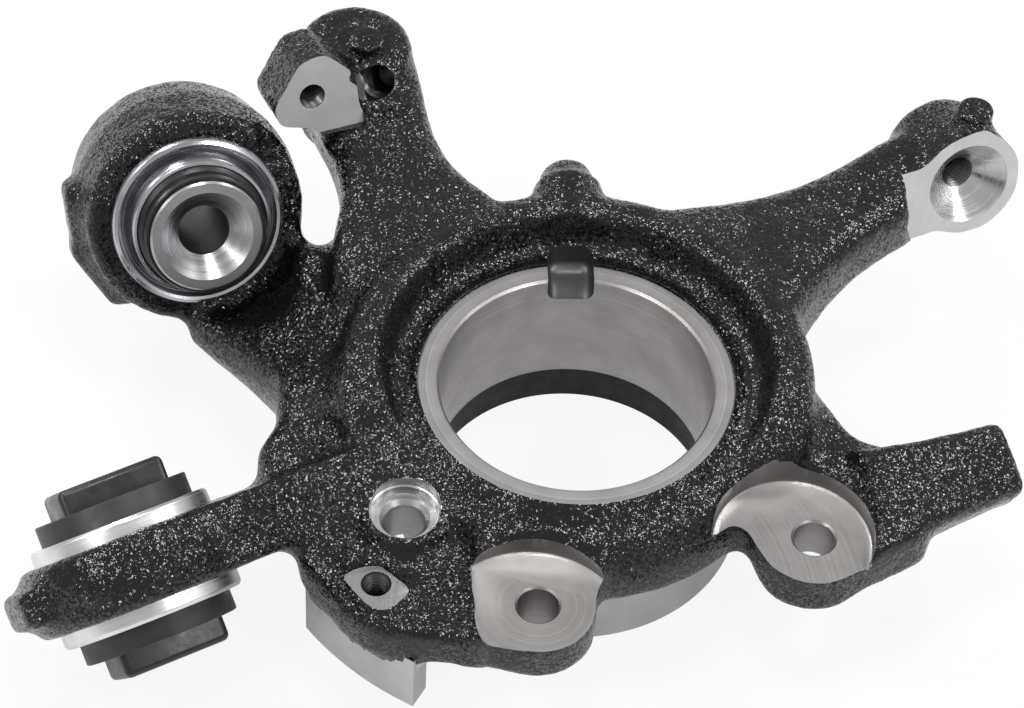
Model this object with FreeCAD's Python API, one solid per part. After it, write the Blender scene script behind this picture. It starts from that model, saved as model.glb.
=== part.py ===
"""Rear wheel carrier: one iron casting, a pressed-in ball joint and a pressed-in rubber bush.

Frame: the origin is on the wheel bearing axis where the wall of the bearing seat starts,
and +Z points out of the seat. Lengths are millimetres and angles are degrees.
"""
import FreeCAD, Part
import math
import os
from FreeCAD import Matrix, Placement, Vector

UP = Vector(0, 0, 1)
ORIGIN = Vector(0, 0, 0)

# Wheel bearing seat
SEAT_RADIUS = 45.0
SEAT_DEPTH = 45.0
SEAT_CHAMFER = 0.8
RELIEF_RADIUS = 47.4
FACE_RADIUS = 52.6
HUB_DEPTH = 61.0

# Hub body round the seat: its machined face stands one chamfer above level 0
GROOVE_RADIUS = 59.3
GROOVE_LEVEL = -3.4
FRONT_RADIUS = 70.3
FRONT_EDGE_LEVEL = -15.0
FLANGE_LEVEL = -26.0
SPIGOT_RADIUS = 58.0
SPIGOT_ROOT_LEVEL = -31.0
REAR_RADIUS = 78.0
RIM_RADIUS = 65.0
RIM_LEVEL = 13.0
RIM_INSET = 4.0
RIDGE_DROP = 1.2
RIDGE_ROUND = 5.0
RIM_START = -38.0
RIM_SWEEP = 256.0
RIM_FALL_RADIUS = 62.0
RIM_FALL_CENTRE = 10.0

# Open slot in the seat face for the speed sensor, and the bump on the rim behind it
SLOT_AZIMUTH = 93.8
SLOT_WIDTH = 15.6
SLOT_REACH = 60.8
SLOT_DEPTH = 8.8
BUMP_REACH = 95.0
BUMP_TIP_RADIUS = 8.0
BUMP_ROOT_RADIUS = 17.0
BUMP_LEVEL = 1.0

# Casting nubs on the lug and the right arm
NUB_RADIUS = 6.5
NUB_ROUND = 2.5

# How far the tools reach past the material that they clear
MILL_REACH = 30.0
MILL_STOCK = 4.0
FACING_REACH = 40.0
THROUGH_DEPTH = 40.0

# Direction that the tapered seat and the bracket pad both face
SIDE_AXIS = Vector(0.38, -0.88, 0.27)

# Right arm with the tapered seat at its end
RIGHT_ROOT = Vector(50.0, 50.0, -5.0)
# share of the way, shift to the near side, width, depth, corner radius, roll
RIGHT_SECTIONS = (
    (-0.12, 0.0, 76.0, 32.0, 9.0, 0.0),
    (0.12, 0.0, 54.0, 31.0, 9.0, 0.0),
    (0.36, 0.0, 38.0, 26.0, 8.0, 0.0),
    (0.66, 0.0, 32.0, 26.0, 8.0, 0.0),
    (1.00, 0.0, 28.0, 28.0, 8.0, 0.0),
)
TAPER_CENTRE = Vector(134.1, 105.3, -5.0)
TAPER_BOSS_RADIUS = 19.6
TAPER_BOSS_LENGTH = 31.0
TAPER_MOUTH_RADIUS = 15.0
TAPER_DEPTH = 9.5
TAPER_MILL_RADIUS = 28.0
TAPER_THREAD_RADIUS = 5.1
TAPER_THREAD_DEPTH = 12.0
TAPER_BOSS_ROUND = 5.0
TAPER_NUB_OFFSET = Vector(6.0, 1.0, TAPER_BOSS_RADIUS - 3.0)
TAPER_NUB_HEIGHT = 10.0

# Ball joint eye: its centre is where its axis meets the machined front face
BALL_EYE_FACE = Vector(-130.0, 60.4, 4.0)
BALL_AXIS = Vector(0.30, -0.85, 0.43)
BALL_EYE_RADIUS = 39.0
BALL_EYE_LENGTH = 40.0
EYE_DRAFT = 2.0
EYE_EDGE = 3.0
GATE_WIDTH = 12.0
CAN_RADIUS = 28.0
EYE_FACING_RADIUS = BALL_EYE_RADIUS - EYE_EDGE - 1.0

# Web from the hub to the ball joint eye: it falls and rolls over towards the eye
BALL_WEB_START = Vector(-122.0, 60.0, -31.0)
BALL_WEB_ROOT = Vector(-48.0, 8.0, -10.0)
BALL_WEB_SECTIONS = (
    (0.00, -1.0, 42.0, 23.0, 9.0, 30.0),
    (0.25, -0.5, 52.0, 26.0, 9.0, 24.0),
    (0.52, 1.0, 62.0, 30.0, 9.0, 14.0),
    (0.76, 2.0, 74.0, 33.0, 9.0, 6.0),
    (1.00, 0.0, 80.0, 36.0, 9.0, 0.0),
)
# Gusset between that web and the bush arm
GUSSET_CORNERS = ((-30, 30, 0), (-101, 14, 12), (-97, -13, 18), (-106, -34, 8), (-58, -41, 8), (-30, -16, 0))
GUSSET_LEVEL = -7.0
GUSSET_BACK_LEVEL = -28.0
GUSSET_ROUND = 7.0

# Rubber bush eye: its centre is the middle of the bush
BUSH_CENTRE = Vector(-138.0, -66.5, -25.0)
BUSH_AXIS = Vector(-0.41, 0.69, 0.60)
BUSH_EYE_RADIUS = 38.0
BUSH_EYE_LENGTH = 23.0
SHELL_RADIUS = 30.0
BUSH_ARM_ROOT_WIDTH = 46.0

# Rear arm with its lug and its bracket block
LUG_CENTRE = Vector(-81.5, 129.0, 6.0)
LUG_RADIUS = 20.0
LUG_HEIGHT = 40.0
LUG_ROUND = 6.0
LUG_NUB_OFFSET = Vector(4.0, -2.0, -3.0)
LUG_NUB_HEIGHT = 6.0
LUG_ARM_ROOT = Vector(-56.0, 62.0, -6.0)
LUG_ARM_SECTIONS = (
    (-0.31, 0.0, 66.0, 34.0, 8.0, 0.0),
    (0.00, 0.0, 60.0, 35.0, 8.0, 0.0),
    (0.36, 0.0, 39.0, 28.0, 9.0, 0.0),
    (0.70, 0.0, 38.0, 30.0, 9.0, 0.0),
    (1.00, 0.0, 38.0, 34.0, 9.0, 0.0),
)
LUG_HOLE_CENTRE = Vector(-73.5, 112.0, 22.0)
LUG_HOLE_AXIS = Vector(-0.24, -0.81, 0.53)
LUG_HOLE_RADIUS = 5.9
LUG_HOLE_DEPTH = 22.0
LUG_MOUTH_RADIUS = 6.9
LUG_MOUTH_LEVEL = -4.0
LUG_MOUTH_REACH = 30.0
PAD_HOLE_CENTRE = Vector(-93.8, 96.4, 29.5)
PAD_THICKNESS = 23.0
PAD_HOLE_RADIUS = 3.9
PAD_HOLE_DEPTH = 14.0
PAD_MILL_CORNERS = ((-22, -16, 0), (22, -16, 0), (22, 24, 0), (-22, 24, 0))

# Caliper ears: faces parallel to the seat face
EAR_LEVEL = -12.0
EAR_BACK_LEVEL = -27.0
EAR_HOLE_RADIUS = 6.75
EAR_HOLE_CHAMFER = 0.7
EAR_RADIUS = 18.5
NEAR_MILL_RADIUS = 31.0
NEAR_MILL_OFFSET = Vector(-2.0, -10.0, 0.0)
FAR_MILL_RADIUS = 26.0
FAR_MILL_OFFSET = Vector(-7.0, -3.0, 0.0)
NEAR_EAR = Vector(-9.1, -82.2, 0.0)
FAR_EAR = Vector(78.3, -49.5, 0.0)
FAR_ARM_LENGTH = 50.0
FAR_ARM_AZIMUTH = 25.0
FAR_ARM_START = Vector(96.0, -36.0, -12.0)
FAR_ARM_RISE = 1.5
FAR_ARM_SECTIONS = (
    (0.00, 0.0, 35.0, 24.0, 5.0, 16.0),
    (0.55, 0.0, 28.0, 22.0, 5.0, 24.0),
    (1.00, 0.0, 25.0, 20.0, 5.0, 24.0),
)

# Lower plate with its two small holes and the turned foot below it
PLATE_RADIUS = 107.6
PLATE_CORNERS = ((-11.4, -159.3, 6), (0.8, -142.5, 10), (5.3, -124.5, 20), (-8.1, -102.8, 6))
PLATE_LEVEL = -14.0
PLATE_BACK_LEVEL = -29.0
FOOT_WALL = 8.5
FOOT_LEVEL = -50.0
FOOT_START = -141.0
FOOT_END = -116.0
STEP_HOLE = Vector(-53.0, -50.5, 0.0)
STEP_HOLE_LEVEL = -9.0
STEP_HOLE_RADIUS = 6.75
STEP_RECESS_RADIUS = 10.9
STEP_RECESS_DEPTH = 3.0
STEP_BOSS_RADIUS = 14.0
SMALL_HOLE = Vector(-60.4, -77.4, 0.0)
SMALL_HOLE_LEVEL = -12.0
SMALL_HOLE_RADIUS = 4.2
SMALL_HOLE_DEPTH = 13.0
SMALL_MILL_RADIUS = 13.0
SMALL_CHAMFER = 0.5
SMALL_PAD_CORNERS = ((-11, 2, 1), (-1, 8, 6), (11, -2, 1), (2, -12, 5))

# Ball joint, along its axis from the middle of the eye
JOINT_BORE_RADIUS = 8.75
JOINT_MOUTH_RADIUS = 15.5
JOINT_MOUTH_DEPTH = 6.5
JOINT_STANDOUT = 1.0
JOINT_FLANGE_RADIUS = 19.3
JOINT_FLANGE_LENGTH = 9.0
JOINT_NECK_RADIUS = 14.5
JOINT_BALL_RADIUS = 19.8
JOINT_PLAY = 0.1
LINER_RADIUS = 23.0
LINER_HALF_LENGTH = 13.0
CAN_NECK_RADIUS = 22.6
CAN_NECK_LENGTH = 7.0
CAN_WALL = 1.2
CAN_LIP_RADIUS = 29.6
CAN_LIP_LENGTH = 3.0
JOINT_HALF_LENGTH = BALL_EYE_LENGTH / 2 + CAN_NECK_LENGTH + JOINT_STANDOUT + JOINT_FLANGE_LENGTH

# Rubber bush, along its axis from the middle of the eye
SHELL_WALL = 2.5
SHELL_STANDOUT = 5.0
RUBBER_RADIUS = 25.5
RUBBER_STANDOUT = 7.0
CORE_HALF_LENGTH = 31.5
CORE_WIDTH = 36.0
CORE_DEPTH = 26.0
CORE_BORE_RADIUS = 6.25

parts = {}


def unit(vector):
    return Vector(vector).normalize()


def polar(radius, azimuth, level=0.0):
    angle = math.radians(azimuth)
    return Vector(radius * math.cos(angle), radius * math.sin(angle), level)


def frame(origin, axis, lean=UP):
    """Placement whose +Z is the axis and whose +Y leans the given way."""
    z_dir = unit(axis)
    x_dir = unit(lean.cross(z_dir))
    y_dir = z_dir.cross(x_dir)
    return Placement(Matrix(
        x_dir.x, y_dir.x, z_dir.x, origin.x,
        x_dir.y, y_dir.y, z_dir.y, origin.y,
        x_dir.z, y_dir.z, z_dir.z, origin.z,
        0, 0, 0, 1))


def moved(shape, placement):
    result = shape.copy()
    result.Placement = placement.multiply(result.Placement)
    return result


def outline(corners):
    """Closed flat wire through (x, y, corner radius) points."""
    points = [Vector(x, y, 0) for x, y, _ in corners]
    edges = []
    starts = []
    ends = []
    arcs = []
    count = len(points)
    for index, (_, _, radius) in enumerate(corners):
        here = points[index]
        to_last = unit(points[index - 1] - here)
        to_next = unit(points[(index + 1) % count] - here)
        if radius <= 0:
            starts.append(here)
            ends.append(here)
            arcs.append(None)
            continue
        half = to_last.getAngle(to_next) / 2
        setback = radius / math.tan(half)
        centre = here + unit(to_last + to_next) * (radius / math.sin(half))
        first = here + to_last * setback
        last = here + to_next * setback
        middle = centre + unit(here - centre) * radius
        starts.append(first)
        ends.append(last)
        arcs.append(Part.Arc(first, middle, last).toShape())
    for index in range(count):
        if arcs[index] is not None:
            edges.append(arcs[index])
        begin = ends[index]
        finish = starts[(index + 1) % count]
        if (finish - begin).Length > 1e-6:
            edges.append(Part.makeLine(begin, finish))
    return Part.Wire(edges)


def plate(corners, low, high, soft=0.0):
    """Upright plate between two levels, with its upper edges rounded where soft is given."""
    wire = outline(corners)
    wire.translate(Vector(0, 0, low))
    block = Part.Face(wire).extrude(Vector(0, 0, high - low))
    if soft:
        block = block.makeFillet(soft, edges_at(block, high))
    return block


def edges_at(shape, level):
    """Edges that lie in one level plane."""
    return [edge for edge in shape.Edges if all(abs(end.Z - level) < 1e-6 for end in edge.Vertexes)]


def turned(corners, sweep=360.0, start=0.0):
    """Solid turned about +Z from an outline of (radius, level, corner radius)."""
    face = Part.Face(outline(corners))
    face.rotate(ORIGIN, Vector(1, 0, 0), 90)
    face.rotate(ORIGIN, UP, start)
    return face.revolve(ORIGIN, UP, sweep)


def section(centre, along, width, depth, corner, roll=0.0):
    """Rounded rectangle across a direction: width is level, unless it is rolled."""
    half_width = width / 2
    half_depth = depth / 2
    wire = outline([
        (-half_width, -half_depth, corner),
        (half_width, -half_depth, corner),
        (half_width, half_depth, corner),
        (-half_width, half_depth, corner),
    ])
    wire.rotate(ORIGIN, UP, roll)
    return moved(wire, frame(centre, along))


def tapered_bar(start, run, sections):
    """Loft along a run through upright sections of (share, shift, width, depth, corner, roll)."""
    along = unit(Vector(run.x, run.y, 0))
    side = along.cross(UP)
    wires = []
    for share, shift, width, depth, corner, roll in sections:
        centre = start + run * share + side * shift
        wires.append(section(centre, along, width, depth, corner, roll))
    return Part.makeLoft(wires, True, False)


def pin(foot, axis, radius, length):
    return Part.makeCylinder(radius, length, foot, axis)


def rounded_at(shape, point, radius):
    """Round edges in the plane of a point are filleted."""
    return shape.makeFillet(radius, [shape.Edges[index] for index in tip_edges(shape, point)])


def fused(shapes):
    return shapes[0].multiFuse(shapes[1:])


def drill(radius, depth, mouth=0.0, point=True):
    """Drill from level 0 down, with a chamfered mouth and a cone at the bottom."""
    corners = [(0, 1.0, 0), (radius + mouth + 1.0, 1.0, 0)]
    corners.append((radius, -mouth, 0) if mouth else (radius, 1.0, 0))
    if not mouth:
        corners = [(0, 1.0, 0), (radius, 1.0, 0)]
    corners.append((radius, -depth, 0))
    corners.append((0, -depth - (radius * 0.577 if point else 0.0), 0))
    return turned(corners)


def hub():
    """Turned blank round the bearing seat, with the spigot below it."""
    core = SEAT_RADIUS - 5.0
    return turned([
        (core, SEAT_CHAMFER, 0),
        (FACE_RADIUS, SEAT_CHAMFER, 0),
        (GROOVE_RADIUS, GROOVE_LEVEL, 3.0),
        (GROOVE_RADIUS + 4.0, GROOVE_LEVEL, 4.0),
        (FRONT_RADIUS, FRONT_EDGE_LEVEL, 8.0),
        (FRONT_RADIUS, FLANGE_LEVEL, 1.5),
        (SPIGOT_RADIUS + 2.0, SPIGOT_ROOT_LEVEL, 2.0),
        (SPIGOT_RADIUS, SPIGOT_ROOT_LEVEL - 2.0, 0),
        (SPIGOT_RADIUS, -HUB_DEPTH, 0.8),
        (core, -HUB_DEPTH, 0),
    ])


def rear_rim():
    """Raised rim round the rear of the seat: its top falls away towards the front."""
    rim = turned([
        (SEAT_RADIUS, FLANGE_LEVEL, 0),
        (SEAT_RADIUS, GROOVE_LEVEL - 4.0, 0),
        (GROOVE_RADIUS - RIM_INSET, GROOVE_LEVEL, 0),
        (GROOVE_RADIUS - RIM_INSET, RIM_LEVEL, 0),
        (REAR_RADIUS, RIM_LEVEL - 1.0, 8.0),
        (REAR_RADIUS, FLANGE_LEVEL, 3.0),
    ], RIM_SWEEP, RIM_START)
    reach = 2 * REAR_RADIUS
    drum = Part.makeCylinder(
        RIM_FALL_RADIUS, 2 * reach,
        Vector(-reach, RIM_FALL_CENTRE, RIM_LEVEL - RIM_FALL_RADIUS), Vector(1, 0, 0))
    block = Part.makeBox(2 * reach, reach, reach, Vector(-reach, RIM_FALL_CENTRE, -reach / 2))
    return rim.common(drum.fuse(block))


def sensor_bump():
    """Tapered bump that stands out of the rim behind the slot."""
    outward = polar(1.0, SLOT_AZIMUTH)
    root = polar(REAR_RADIUS - 12.0, SLOT_AZIMUTH, BUMP_LEVEL)
    tip = polar(BUMP_REACH, SLOT_AZIMUTH, BUMP_LEVEL)
    cone = Part.makeCone(BUMP_ROOT_RADIUS, BUMP_TIP_RADIUS, (tip - root).Length, root, outward)
    return cone.makeFillet(3.0, [cone.Edges[index] for index in tip_edges(cone, tip)])


def tip_edges(shape, point, reach=1.0):
    """Indices of the round edges that lie in a plane through a point."""
    found = []
    for index, edge in enumerate(shape.Edges):
        if isinstance(edge.Curve, Part.Circle) and edge.Curve.Center.distanceToPoint(point) < reach:
            found.append(index)
    return found


def barrel(radius, length, axis_frame):
    """Eye blank with draft both ways from its middle, on a frame in its middle."""
    half = length / 2
    blank = turned([
        (0, -half, 0),
        (radius - EYE_DRAFT, -half, EYE_EDGE),
        (radius, 0, 4 * EYE_EDGE),
        (radius - EYE_DRAFT, half, EYE_EDGE),
        (0, half, 0),
    ])
    return moved(blank, axis_frame)


def ball_frame():
    middle = BALL_EYE_FACE - unit(BALL_AXIS) * (BALL_EYE_LENGTH / 2)
    return frame(middle, BALL_AXIS)


def bush_frame():
    return frame(BUSH_CENTRE, BUSH_AXIS)


def taper_frame():
    return frame(TAPER_CENTRE, SIDE_AXIS)


def right_arm():
    """Arm that flares out of the rim and ends in the boss of the tapered seat."""
    boss_middle = TAPER_CENTRE - unit(SIDE_AXIS) * (TAPER_BOSS_LENGTH / 2)
    shank = tapered_bar(RIGHT_ROOT, boss_middle - RIGHT_ROOT, RIGHT_SECTIONS)
    back = TAPER_CENTRE - unit(SIDE_AXIS) * TAPER_BOSS_LENGTH
    boss = pin(back, unit(SIDE_AXIS), TAPER_BOSS_RADIUS, TAPER_BOSS_LENGTH + MILL_STOCK)
    boss = rounded_at(boss, back, TAPER_BOSS_ROUND)
    nub_foot = boss_middle + TAPER_NUB_OFFSET
    nub = pin(nub_foot, UP, NUB_RADIUS, TAPER_NUB_HEIGHT)
    nub = rounded_at(nub, nub_foot + UP * TAPER_NUB_HEIGHT, NUB_ROUND)
    return [shank, boss, nub]


def ball_web():
    """Web from the hub to the ball joint eye, and the eye blank itself."""
    eye = barrel(BALL_EYE_RADIUS, BALL_EYE_LENGTH, ball_frame())
    web = tapered_bar(BALL_WEB_START, BALL_WEB_ROOT - BALL_WEB_START, BALL_WEB_SECTIONS)
    gusset = plate(GUSSET_CORNERS, GUSSET_BACK_LEVEL, GUSSET_LEVEL, GUSSET_ROUND)
    gate = moved(plate([
        (-30, 15, 0),
        (-41.5, 14, 1),
        (-41, -7, 1),
        (-42.5, -10, 1),
        (-40, -15, 1),
        (-31, -32, 2),
        (-20, -32, 0),
    ], -GATE_WIDTH / 2, GATE_WIDTH / 2), ball_frame())
    return [eye, web, gusset, gate]


def bush_arm():
    """Plate across the bush axis, from the hub to the bush eye."""
    place = bush_frame()
    eye = barrel(BUSH_EYE_RADIUS, BUSH_EYE_LENGTH, place)
    half = BUSH_ARM_ROOT_WIDTH / 2
    arm = plate([
        (0, -BUSH_EYE_RADIUS + 4, 0),
        (-60, -half - 4, 30),
        (-88, -half - 6, 0),
        (-85, half + 4, 0),
        (-60, half + 2, 40),
        (0, BUSH_EYE_RADIUS - 4, 0),
    ], -BUSH_EYE_LENGTH / 2 + 0.5, BUSH_EYE_LENGTH / 2 - 0.5)
    arm = moved(arm, place)
    gate = moved(plate([
        (30, -19, 0),
        (BUSH_EYE_RADIUS + 4, -15, 2),
        (BUSH_EYE_RADIUS + 4, 15, 2),
        (30, 19, 0),
    ], -GATE_WIDTH / 2, GATE_WIDTH / 2), place)
    return [eye, arm, gate]


def lug_arm():
    """Rear arm, its upright lug and the bracket block beside it."""
    arm = tapered_bar(LUG_ARM_ROOT, LUG_CENTRE - LUG_ARM_ROOT, LUG_ARM_SECTIONS)
    foot = LUG_CENTRE - UP * (LUG_HEIGHT / 2)
    lug = pin(foot, UP, LUG_RADIUS, LUG_HEIGHT)
    lug = rounded_at(lug, foot + UP * LUG_HEIGHT, LUG_ROUND)
    nub = pin(foot + UP * LUG_HEIGHT + LUG_NUB_OFFSET, UP, NUB_RADIUS, LUG_NUB_HEIGHT)
    return [arm, lug, nub, pad_block()]


def pad_frame():
    return frame(PAD_HOLE_CENTRE, SIDE_AXIS)


def pad_block():
    """Block behind the bracket pad: its front is milled later."""
    block = plate([
        (-14, -2, 2),
        (-12, -9, 3),
        (1, -13, 1),
        (3, -24, 1),
        (17, -24, 1),
        (16.5, 4, 6),
        (6, 15, 4),
        (-3, 13.5, 5),
    ], -PAD_THICKNESS, 1.0)
    return moved(block, pad_frame())


def ear_blank(hole, back_level, top_level):
    foot = Vector(hole.x, hole.y, back_level)
    ear = Part.makeCylinder(EAR_RADIUS, top_level - back_level, foot, UP)
    return ear.makeFillet(2.5, [ear.Edges[index] for index in tip_edges(ear, foot)])


def near_ear():
    blank = ear_blank(NEAR_EAR, EAR_BACK_LEVEL, EAR_LEVEL + 1.0)
    root = plate([
        (-32, -52, 0),
        (-26, -99, 4),
        (-12, -101, 6),
        (8, -82, 6),
        (14, -60, 0),
    ], EAR_BACK_LEVEL + 2, EAR_LEVEL + 6.0, 3.5)
    return [blank, root]


def far_ear():
    """Ear on the right with the long arm that leaves it."""
    blank = ear_blank(FAR_EAR, EAR_BACK_LEVEL - 1.0, EAR_LEVEL + 1.0)
    root = plate([
        (50, -30, 0),
        (62, -60, 12),
        (94, -62, 8),
        (118, -47, 8),
        (104, -14.5, 8),
        (92, -12, 14),
        (80, 8, 30),
        (66, 30, 0),
    ], EAR_BACK_LEVEL + 3, EAR_LEVEL + 8.0, 5.0)
    arm = tapered_bar(FAR_ARM_START, polar(FAR_ARM_LENGTH, FAR_ARM_AZIMUTH, FAR_ARM_RISE), FAR_ARM_SECTIONS)
    return [blank, root, arm]


def lower_plate():
    """Plate at the lower left, with the boss of the stepped hole and the turned foot."""
    corners = [(-46, -20, 0)]
    for offset, azimuth, radius in PLATE_CORNERS:
        corner = polar(PLATE_RADIUS + offset, azimuth)
        corners.append((corner.x, corner.y, radius))
    corners.append((-14, -56, 0))
    body = plate(corners, PLATE_BACK_LEVEL, PLATE_LEVEL, 3.5)
    boss_foot = Vector(STEP_HOLE.x, STEP_HOLE.y, PLATE_BACK_LEVEL)
    boss = Part.makeCylinder(STEP_BOSS_RADIUS, STEP_HOLE_LEVEL + 1 - PLATE_BACK_LEVEL, boss_foot, UP)
    small = plate(SMALL_PAD_CORNERS, PLATE_BACK_LEVEL, SMALL_HOLE_LEVEL + 1)
    small.translate(SMALL_HOLE)
    foot = turned([
        (PLATE_RADIUS - FOOT_WALL, FOOT_LEVEL, 0),
        (PLATE_RADIUS, FOOT_LEVEL, 0),
        (PLATE_RADIUS, PLATE_BACK_LEVEL + 6, 0),
        (PLATE_RADIUS - FOOT_WALL, PLATE_BACK_LEVEL + 6, 0),
    ], FOOT_END - FOOT_START, FOOT_START)
    return [body, boss, small, foot]


def casting():
    blanks = [hub(), rear_rim(), sensor_bump()]
    blanks += right_arm() + ball_web() + bush_arm() + lug_arm()
    blanks += near_ear() + far_ear() + lower_plate()
    body = fused(blanks)
    return machined(body)


def through(radius, length):
    """Cylinder centred on level 0 that goes well past a body of the given length."""
    return Part.makeCylinder(radius, 3 * length, UP * (-1.5 * length))


def level_mill(centre, level, radius):
    """Mill that clears everything above a level."""
    return Part.makeCylinder(radius, MILL_REACH, Vector(centre.x, centre.y, level), UP)


def upright_hole(centre, level, radius, depth, mouth=0.0, point=True):
    tool = drill(radius, depth, mouth, point)
    tool.translate(Vector(centre.x, centre.y, level))
    return tool


def machined(body):
    """Everything that is cut after casting."""
    seat = turned([
        (0, 2 * SEAT_CHAMFER, 0),
        (SEAT_RADIUS + 2 * SEAT_CHAMFER, 2 * SEAT_CHAMFER, 0),
        (SEAT_RADIUS, 0, 0),
        (SEAT_RADIUS, -SEAT_DEPTH, 0),
        (RELIEF_RADIUS, -SEAT_DEPTH - 1, 0),
        (RELIEF_RADIUS, -HUB_DEPTH - 1, 0),
        (0, -HUB_DEPTH - 1, 0),
    ])
    bowl = turned([
        (0, SEAT_CHAMFER, 0),
        (FACE_RADIUS, SEAT_CHAMFER, 0),
        (GROOVE_RADIUS, GROOVE_LEVEL, 1.5),
        (RIM_RADIUS, RIM_LEVEL - RIDGE_DROP, RIDGE_ROUND),
        (RIM_RADIUS + 12, RIM_LEVEL + 3, 0),
        (RIM_RADIUS + 12, RIM_LEVEL + 12, 0),
        (0, RIM_LEVEL + 12, 0),
    ])
    slot_end = polar(SLOT_REACH - SLOT_WIDTH / 2, SLOT_AZIMUTH, -SLOT_DEPTH)
    slot_round = Part.makeCylinder(SLOT_WIDTH / 2, 4 * SLOT_DEPTH, slot_end, UP)
    slot_box = Part.makeBox(SLOT_REACH, SLOT_WIDTH, 4 * SLOT_DEPTH, Vector(0, -SLOT_WIDTH / 2, 0))
    slot_box = slot_box.common(Part.makeCylinder(SLOT_REACH - SLOT_WIDTH / 2, 4 * SLOT_DEPTH))
    slot_box.rotate(ORIGIN, UP, SLOT_AZIMUTH)
    slot_box.translate(Vector(0, 0, -SLOT_DEPTH))
    tools = [seat, bowl, slot_round, slot_box]

    tools.append(level_mill(NEAR_EAR + NEAR_MILL_OFFSET, EAR_LEVEL, NEAR_MILL_RADIUS))
    tools.append(level_mill(FAR_EAR + FAR_MILL_OFFSET, EAR_LEVEL, FAR_MILL_RADIUS))
    for ear in (NEAR_EAR, FAR_EAR):
        tools.append(upright_hole(
            ear, EAR_LEVEL, EAR_HOLE_RADIUS, THROUGH_DEPTH, EAR_HOLE_CHAMFER, False))

    step_floor = STEP_HOLE_LEVEL - STEP_RECESS_DEPTH
    tools.append(level_mill(STEP_HOLE, STEP_HOLE_LEVEL, STEP_RECESS_RADIUS + 0.6))
    tools.append(upright_hole(
        STEP_HOLE, STEP_HOLE_LEVEL, STEP_RECESS_RADIUS, STEP_RECESS_DEPTH, SMALL_CHAMFER, False))
    tools.append(upright_hole(STEP_HOLE, step_floor, STEP_HOLE_RADIUS, THROUGH_DEPTH, 0, False))
    tools.append(level_mill(SMALL_HOLE, SMALL_HOLE_LEVEL, SMALL_MILL_RADIUS))
    tools.append(upright_hole(
        SMALL_HOLE, SMALL_HOLE_LEVEL, SMALL_HOLE_RADIUS, SMALL_HOLE_DEPTH, SMALL_CHAMFER))

    taper = turned([
        (0, 1, 0),
        (TAPER_MOUTH_RADIUS + 1, 1, 0),
        (TAPER_THREAD_RADIUS, -TAPER_DEPTH, 0),
        (TAPER_THREAD_RADIUS, -TAPER_DEPTH - TAPER_THREAD_DEPTH, 0),
        (0, -TAPER_DEPTH - TAPER_THREAD_DEPTH, 0),
    ])
    taper_mill = Part.makeCylinder(TAPER_MILL_RADIUS, MILL_REACH)
    tools.append(moved(taper, taper_frame()))
    tools.append(moved(taper_mill, taper_frame()))

    pad_mill = plate(PAD_MILL_CORNERS, 0, MILL_REACH)
    tools.append(moved(pad_mill, pad_frame()))
    tools.append(moved(drill(PAD_HOLE_RADIUS, PAD_HOLE_DEPTH, SMALL_CHAMFER), pad_frame()))
    lug_drill = turned([
        (0, LUG_MOUTH_REACH, 0),
        (LUG_MOUTH_RADIUS, LUG_MOUTH_REACH, 0),
        (LUG_MOUTH_RADIUS, LUG_MOUTH_LEVEL + 1, 0),
        (LUG_HOLE_RADIUS, LUG_MOUTH_LEVEL, 0),
        (LUG_HOLE_RADIUS, -LUG_HOLE_DEPTH, 0),
        (0, -LUG_HOLE_DEPTH - LUG_HOLE_RADIUS / 2, 0),
    ])
    tools.append(moved(lug_drill, frame(LUG_HOLE_CENTRE, LUG_HOLE_AXIS)))

    ball_bore = through(CAN_RADIUS, BALL_EYE_LENGTH)
    ball_face = Part.makeCylinder(EYE_FACING_RADIUS, FACING_REACH, UP * (BALL_EYE_LENGTH / 2))
    ball_back = ball_face.mirror(ORIGIN, UP)
    for tool in (ball_bore, ball_face, ball_back):
        tools.append(moved(tool, ball_frame()))
    shell_bore = through(SHELL_RADIUS, BUSH_EYE_LENGTH)
    bush_face = Part.makeCylinder(BUSH_EYE_RADIUS, FACING_REACH, UP * (BUSH_EYE_LENGTH / 2))
    for tool in (shell_bore, bush_face, bush_face.mirror(ORIGIN, UP)):
        tools.append(moved(tool, bush_frame()))
    return body.cut(tools)


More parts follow.
